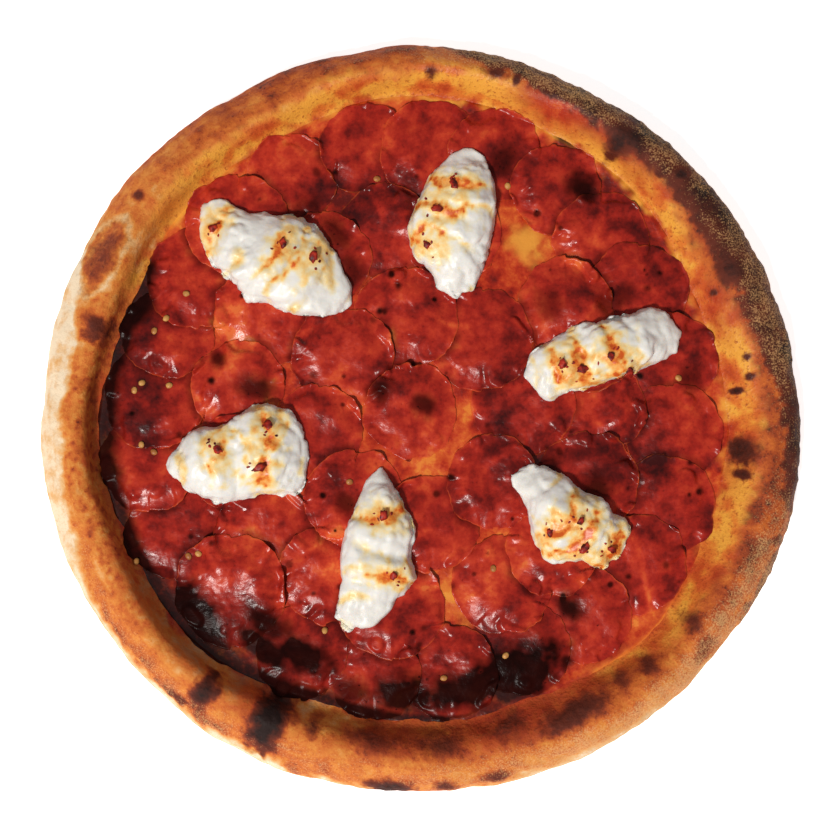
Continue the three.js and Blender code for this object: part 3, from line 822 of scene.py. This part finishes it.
# Cream cheese: soft dollops, folded across their length, with chilli oil run into the folds
dollopLook = {
    "grain": 0.75,  # mm between points
    "settle": 6,
    "swell": 0.2,  # gives back what the smoothing takes
    "foldWidth": 12,  # mm, as is the depth
    "foldDepth": 0.6,
    "foldSway": 8,
    "foldBend": 0.015,
    "give": 2,  # mm by which the underside may follow the slices
    "stiffAbove": 6,
    "sunkIn": 0.3,
    "curds": [(9, 1.2), (4.2, 0.75), (2, 0.22)],  # size and height of the soft lumps in mm
    "ragged": [(5, 0.5, 15), (2.2, 0.3, 16)],  # along the oil's outline: size in mm, amount and seed
    "oilAcross": 18,  # how far oil has run from a flake, across the dollop and along it
    "oilAlong": 9,
    "oilSoft": 1.3,
    "oilStrength": 0.9,
    "mostOil": 0.92,
}


def settleDown(bm, tree):
    # the dollop sinks as far as the slices below it did, and its underside follows them
    unders = [hitFromBelow(tree, v.co.x, v.co.y) for v in bm.verts]
    tops = [topAt(v.co.x, v.co.y)[0].z for v in bm.verts]
    drops = [under.z - top for under, top in zip(unders, tops) if under]
    mean = sum(drops) / len(drops)
    give, stiffAbove = dollopLook["give"] * mm, dollopLook["stiffAbove"] * mm
    for v, under, top in zip(bm.verts, unders, tops):
        if under:
            here = min(max(under.z - top, mean - give), mean + give)
            v.co.z -= here + (mean - here) * rise(0, stiffAbove, v.co.z - under.z)
        else:
            v.co.z -= mean
    bm.normal_update()
    for v, top in zip(bm.verts, tops):
        if v.normal.z < -0.3:
            v.co.z = min(v.co.z, top - dollopLook["sunkIn"] * mm)
    bm.normal_update()


def longWay(points):
    # the middle of flat points, and the directions along and across them
    centre = sum(points, Vector((0, 0))) / len(points)
    xx = sum((p.x - centre.x) ** 2 for p in points)
    yy = sum((p.y - centre.y) ** 2 for p in points)
    xy = sum((p.x - centre.x) * (p.y - centre.y) for p in points)
    turn = 0.5 * math.atan2(2 * xy, xx - yy)
    axis = Vector((math.cos(turn), math.sin(turn)))
    return centre, axis, Vector((-axis.y, axis.x))


def oilFrom(flakes, place, axis, side):
    # how much oil has run here from the flakes
    ragged = grains(place, dollopLook["ragged"])
    along, across = dollopLook["oilAlong"], dollopLook["oilAcross"]
    stain = 0.0
    for flake in flakes:
        apart = place.xy / mm - centring - Vector(flake)
        far = math.hypot(apart.dot(axis) / along, apart.dot(side) / across) + ragged
        stain += (1 - stain) * dollopLook["oilStrength"] * (1 - rise(0, dollopLook["oilSoft"], far))
    return stain


def dollopPiece(node, material, seed):
    solid = mergedCopy(node)
    centre, axis, side = longWay([v.co.xy for v in solid.verts])
    bottom = min(v.co.z for v in solid.verts)
    tree = BVHTree.FromBMesh(solid)
    bm = throughModifiers(
        solid,
        ("REMESH", {"mode": "VOXEL", "voxel_size": dollopLook["grain"] * mm}),
        ("SMOOTH", {"factor": 0.5, "iterations": dollopLook["settle"]}),
    )
    bm.normal_update()
    oil = bm.verts.layers.float.new("oil")
    valleys = []
    for v in bm.verts:
        place = v.co.copy()
        flat = place.xy - centre
        along = flat.dot(axis) / mm + dollopLook["foldSway"] * grain(place, 15, seed)
        along += dollopLook["foldBend"] * (flat.dot(side) / mm) ** 2
        wave = abs(math.sin(math.pi * along / dollopLook["foldWidth"] + seed))
        fold = rise(0, 1, wave) - 0.6
        height = dollopLook["swell"]
        lumpy = 0.35 + 0.65 * rise(-0.25, 0.35, grain(place, 12, seed + 2))
        for lump, size in dollopLook["curds"]:
            curd = 1.6 * abs(grain(place, lump, seed + lump)) - 0.4
            height += lumpy * size * curd * (1.7 - 0.8 * v.normal.z)
        height += dollopLook["foldDepth"] * fold * rise(-0.1, 0.5, v.normal.z)
        v.co += v.normal * height * mm * rise(bottom, bottom + 2 * mm, place.z)
        valleys.append(1 - rise(0.1, 0.9, wave))
        v[oil] = valleys[-1] * rise(0.0, 0.4, grain(place, 15, 11 + seed))
    settleDown(bm, tree)
    for v, valley in zip(bm.verts, valleys):
        stain = oilFrom(chilliFlakes, v.co, axis, side) * (0.82 + 0.5 * valley)
        v[oil] = max(0.6 * v[oil], min(dollopLook["mostOil"], stain)) * rise(0.0, 0.4, v.normal.z)
    return addPiece(node.replace("cream_", ""), bm, material, "cream_cheese", node)


# Fresh cream cheese: white, moist and faintly see-through, stained yellow to orange by chilli oil
def creamCheese():
    material, tree = newMaterial("fresh_cream_cheese")
    curds = speckle(tree, 2.4, 3)
    runs = speckle(tree, 3.5, 3, 0.6)
    ragged = reckon(tree, "MULTIPLY_ADD", runs, 0.75, painted(tree, "oil"))
    stops = [
        (0.15, "#e9e6e0"), (0.36, "#ece2ca"), (0.54, "#f2dba6"),
        (0.74, "#f3c678"), (0.92, "#e98e38"), (1, "#d05a1c"),
    ]
    colour = colourBy(tree, reckon(tree, "SUBTRACT", ragged, 0.35), stops)
    settings = {
        "Roughness": 0.36, "IOR": 1.4,
        "Subsurface Weight": 0.2, "Subsurface Scale": 2 * mm, "Subsurface Radius": (1.0, 0.8, 0.6),
    }
    finishSurface(tree, settings, {"Base Color": colour, "Normal": bumps(tree, curds, 0.3, 0.5)})
    return material


cream = creamCheese()
dollopNodes = sorted(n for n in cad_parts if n.startswith("cream"))
dollops = [dollopPiece(node, cream, 5.3 * i) for i, node in enumerate(dollopNodes)]
for dollop in dollops:
    layDown(dollop)
print("dollops folded:", len(dollops))

# Chilli: dried seeds and torn flakes, half sunk in what they lie on
seedLook = {
    "size": (1.5, 1.25, 0.7),  # mm
    "dent": 0.12,
    "tintSize": 4,
    "stops": [(0.35, "#9c5c2a"), (0.6, "#c8924e")],
    "roughness": 0.45,
}
flakeLook = {
    "size": (2.2, 1.5, 0.5),
    "dent": 0.8,
    "tintSize": 2.2,
    "stops": [(0.35, "#4a0d08"), (0.5, "#8c1a10"), (0.68, "#c0341e")],
    "roughness": 0.5,
    "scale": (0.75, 1.1),
    "crumbs": 4,  # round each flake
    "crumbSpread": 5,
    "crumbScale": (0.2, 0.4),
    "crumbDent": 0.4,
}


def addSpeck(bm, hit, size, dent, seed):
    # one ball, flattened, dented and laid along the surface
    raised = 0.35  # share of its half height
    made = bmesh.ops.create_icosphere(bm, subdivisions=2, radius=1)["verts"]
    for v in made:
        v.co *= 1 + dent * noise.noise(v.co * 1.4 + Vector((seed, seed, 0)))
    lay = hit[1].to_track_quat("Z", "Y").to_matrix().to_4x4()
    spin = Matrix.Rotation(chance.uniform(0, 2 * math.pi), 4, "Z")
    shape = Matrix.Diagonal((size[0] * mm, size[1] * mm, size[2] * mm, 1))
    lift = Matrix.Translation(hit[0] + hit[1] * size[2] * raised * mm)
    bmesh.ops.transform(bm, matrix=lift @ lay @ spin @ shape, verts=made)


# Dried chilli: pale straw seeds, satin, and thin crinkled skin, dark red to almost black
def driedChilli(name, look):
    material, tree = newMaterial(name)
    colour = colourBy(tree, speckle(tree, look["tintSize"], 2), look["stops"])
    finishSurface(tree, {"Roughness": look["roughness"], "IOR": 1.4}, {"Base Color": colour})
    return material


seedMesh, flakeMesh = bmesh.new(), bmesh.new()
for i, spot in enumerate(chilliSeeds):
    x, y = (Vector(spot) + centring) * mm
    addSpeck(seedMesh, topAt(x, y), seedLook["size"], seedLook["dent"], i)
spread = flakeLook["crumbSpread"] * mm
for i, spot in enumerate(chilliFlakes):
    x, y = (Vector(spot) + centring) * mm
    scale = chance.uniform(*flakeLook["scale"])
    addSpeck(flakeMesh, topAt(x, y), [s * scale for s in flakeLook["size"]], flakeLook["dent"], i)
    for k in range(flakeLook["crumbs"]):
        hit = topAt(x + chance.uniform(-spread, spread), y + chance.uniform(-spread, spread))
        crumb = [s * chance.uniform(*flakeLook["crumbScale"]) for s in flakeLook["size"]]
        addSpeck(flakeMesh, hit, crumb, flakeLook["crumbDent"], 50 + i + k)
addPiece("chilli_seeds", seedMesh, driedChilli("dried_chilli_seed", seedLook), "chilli")
addPiece("chilli_flakes", flakeMesh, driedChilli("dried_chilli_skin", flakeLook), "chilli")
print("chilli scattered")

# Studio: a pale floor, one soft lamp from the near left and an even sky
studioLook = {
    "floorSide": 120.0,  # metres, as are the next two
    "flatReach": 10.0,
    "farRise": 4.0,  # how far the floor's ends come up, as a backdrop
    "floorCells": 24,
    "floorGlow": 0.75,
    "lampFrom": (235, 55, 2.5),  # bearing, elevation in degrees and distance in metres
    "lampSize": 0.34,
    "lampPower": 57.0,
    "lampColour": (1.0, 0.97, 0.93),
    "sky": 0.26,
    "skyColour": (0.97, 0.98, 1.0, 1),
    "cameraHeight": 0.62,
    "cameraBack": 0.012,
    "lens": 65.0,  # mm, as is the sensor
    "sensor": 36,
    "aim": (0.0, -1.1, 8.0),  # mm
}


def floorMaterial():
    material, tree = newMaterial("pale_floor")
    colour = colourBy(tree, speckle(tree, 250, 2), [(0.3, "#f6f5f3"), (0.7, "#faf9f7")])
    settings = {
        "Roughness": 0.9, "IOR": 1.3,
        "Emission Color": "#ffffff", "Emission Strength": studioLook["floorGlow"],
    }
    finishSurface(tree, settings, {"Base Color": colour})
    return material


def buildFloor():
    cells, half = studioLook["floorCells"], studioLook["floorSide"] / 2
    bm = bmesh.new()
    bmesh.ops.create_grid(bm, x_segments=cells, y_segments=cells, size=half)
    for v in bm.verts:
        v.co.z = studioLook["farRise"] * rise(studioLook["flatReach"], half, v.co.length)
    mesh = bpy.data.meshes.new("floor")
    bm.to_mesh(mesh)
    bm.free()
    mesh.materials.append(floorMaterial())
    floor = bpy.data.objects.new("floor", mesh)
    bpy.context.scene.collection.objects.link(floor)


def buildLights():
    bearing, elevation, distance = studioLook["lampFrom"]
    turn, steep = math.radians(bearing), math.radians(elevation)
    aim = Vector((math.cos(steep) * math.cos(turn), math.cos(steep) * math.sin(turn), math.sin(steep)))
    lamp = bpy.data.lights.new("lamp", "AREA")
    lamp.shape, lamp.size, lamp.energy = "DISK", studioLook["lampSize"], studioLook["lampPower"]
    lamp.color = studioLook["lampColour"]
    holder = bpy.data.objects.new("lamp", lamp)
    holder.location = aim * distance
    holder.rotation_euler = aim.to_track_quat("Z", "Y").to_euler()
    bpy.context.scene.collection.objects.link(holder)
    world = bpy.data.worlds.new("sky")
    world.use_nodes = True
    sky = world.node_tree.nodes["Background"].inputs
    sky["Color"].default_value = studioLook["skyColour"]
    sky["Strength"].default_value = studioLook["sky"]
    bpy.context.scene.world = world


def buildCamera():
    lens = bpy.data.cameras.new("camera")
    lens.lens, lens.sensor_width = studioLook["lens"], studioLook["sensor"]
    camera = bpy.data.objects.new("camera", lens)
    camera.location = (0, -studioLook["cameraBack"], studioLook["cameraHeight"])
    look = Vector(studioLook["aim"]) * mm - camera.location
    camera.rotation_euler = look.to_track_quat("-Z", "Y").to_euler()
    bpy.context.scene.collection.objects.link(camera)
    bpy.context.scene.camera = camera
    bpy.context.scene.view_settings.view_transform = "Standard"


buildFloor()
buildLights()
buildCamera()
print("studio lit")
